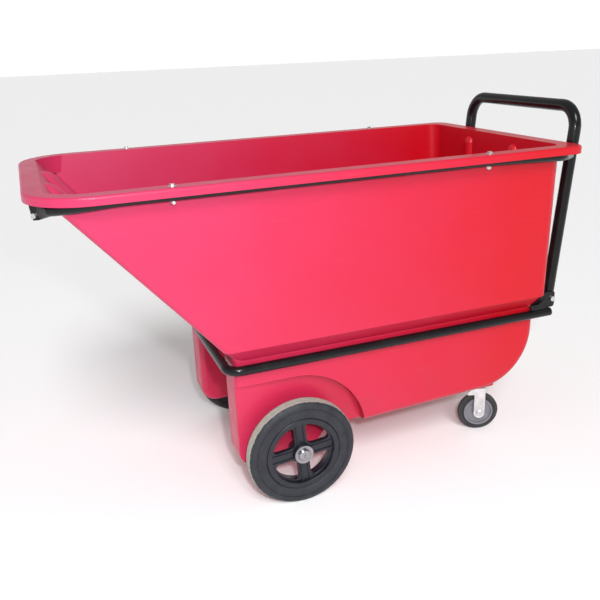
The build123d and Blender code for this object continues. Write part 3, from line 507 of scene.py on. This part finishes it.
def make_axle_caps():
    """Domed caps with a broad flange, seen as the silver disc over each hub boss."""
    low, high = box_of("push_caps")
    for name, side in SIDES.items():
        outer_y = high.y if side > 0 else low.y
        centre = Vector(((low.x + high.x) / 2, outer_y - side * CAP_HEIGHT, (low.z + high.z) / 2))
        place = Matrix.Translation(centre) @ Matrix.Rotation(math.radians(-90 * side), 4, "X")
        profile = [(CAP_BORE_R, 0.0), (CAP_FLANGE_R, 0.0), (CAP_FLANGE_R + 0.0004, 0.0006),
                   (CAP_FLANGE_R, 0.0016), (0.0215, 0.0018), (0.0200, 0.0012), (0.0172, 0.0014)]
        profile += [(0.0118 + 0.0050 * math.cos(math.radians(t)), 0.0030 + 0.0050 * math.sin(math.radians(t)))
                    for t in range(0, 91, 15)]
        profile += [(0.0060, 0.0080), (0.0050, 0.0072), (0.0020, 0.0070), (0.0020, 0.0052), (CAP_BORE_R, 0.0052)]
        piece = lathe("axle_cap_" + name, profile, "cap_steel", place, 72)
        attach(piece, "truck")
        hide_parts("push_caps")


# ---- stage, light and camera ----
CAMERA_PLACE = (-0.7134, -1.8550, 1.1920)
CAMERA_AZIMUTH = -20.42
CAMERA_ELEVATION = 19.98
CAMERA_ROLL = -2.14
CAMERA_LENS = 42.59
ROOM_LIGHT = 0.46
SUN_STRENGTH = 1.9
SUN_ELEVATION = 44
SUN_AZIMUTH = -12
FLASH_PLACE = (-0.60, -1.95, 1.36)
FLASH_TARGET = (-0.30, 0.10, 0.75)
FLASH_POWER = 24


def make_camera():
    data = bpy.data.cameras.new("camera")
    data.sensor_width, data.lens = 36.0, CAMERA_LENS
    camera = bpy.data.objects.new("camera", data)
    bpy.context.collection.objects.link(camera)
    look = Matrix.Rotation(math.radians(CAMERA_AZIMUTH), 4, "Z")
    look = look @ Matrix.Rotation(math.radians(90 - CAMERA_ELEVATION), 4, "X")
    look = look @ Matrix.Rotation(math.radians(CAMERA_ROLL), 4, "Z")
    camera.matrix_world = Matrix.Translation(CAMERA_PLACE) @ look
    bpy.context.scene.camera = camera


def area_light(name, place, target, size, power, color=(1, 1, 1)):
    data = bpy.data.lights.new(name, "AREA")
    data.shape, data.size, data.energy, data.color = "DISK", size, power, color
    light = bpy.data.objects.new(name, data)
    bpy.context.collection.objects.link(light)
    light.location = place
    light.rotation_euler = (Vector(target) - Vector(place)).to_track_quat("-Z", "Y").to_euler()
    light.visible_camera = False


def make_stage():
    bm = bmesh.new()
    bmesh.ops.create_grid(bm, x_segments=1, y_segments=1, size=40.0)
    mesh = bpy.data.meshes.new("floor")
    bm.to_mesh(mesh)
    bm.free()
    floor = bpy.data.objects.new("floor", mesh)
    bpy.context.collection.objects.link(floor)
    s = Shader("floor", (0.97, 0.97, 0.97), 0.9, specular=0.1)
    floor.data.materials.append(s.material)
    floor.location.z = CAD_BOX[0][2] - 0.0005


def make_world():
    """White at the horizon, dimmer above it, so that upward faces mirror a darker room."""
    world = bpy.data.worlds.new("studio")
    world.use_nodes = True
    tree = world.node_tree
    place = tree.nodes.new("ShaderNodeTexCoord")
    split = tree.nodes.new("ShaderNodeSeparateXYZ")
    fall = tree.nodes.new("ShaderNodeMapRange")
    tree.links.new(place.outputs["Generated"], split.inputs["Vector"])
    tree.links.new(split.outputs["Z"], fall.inputs["Value"])
    for name, number in (("From Min", 0.10), ("From Max", 0.16), ("To Min", 1.02), ("To Max", ROOM_LIGHT)):
        fall.inputs[name].default_value = number
    tree.links.new(fall.outputs["Result"], tree.nodes["Background"].inputs["Strength"])
    tree.nodes["Background"].inputs["Color"].default_value = (1, 1, 1, 1)
    bpy.context.scene.world = world
    bpy.context.scene.view_settings.view_transform = "Standard"


def make_sun():
    """Very soft main light from behind the camera, high up."""
    data = bpy.data.lights.new("sun", "SUN")
    data.energy, data.angle = SUN_STRENGTH, math.radians(24)
    sun = bpy.data.objects.new("sun", data)
    bpy.context.collection.objects.link(sun)
    sun.rotation_euler = (math.radians(90 - SUN_ELEVATION), 0, math.radians(SUN_AZIMUTH))


def make_flash():
    """Small lamp above the camera, which also reaches into the hopper."""
    area_light("flash", FLASH_PLACE, FLASH_TARGET, 0.10, FLASH_POWER, (0.95, 0.96, 1.0))


paint_cad_nodes()
make_tyres()
make_hubs()
make_caster_treads()
make_axle_caps()
make_stage()
make_world()
make_sun()
make_flash()
make_camera()
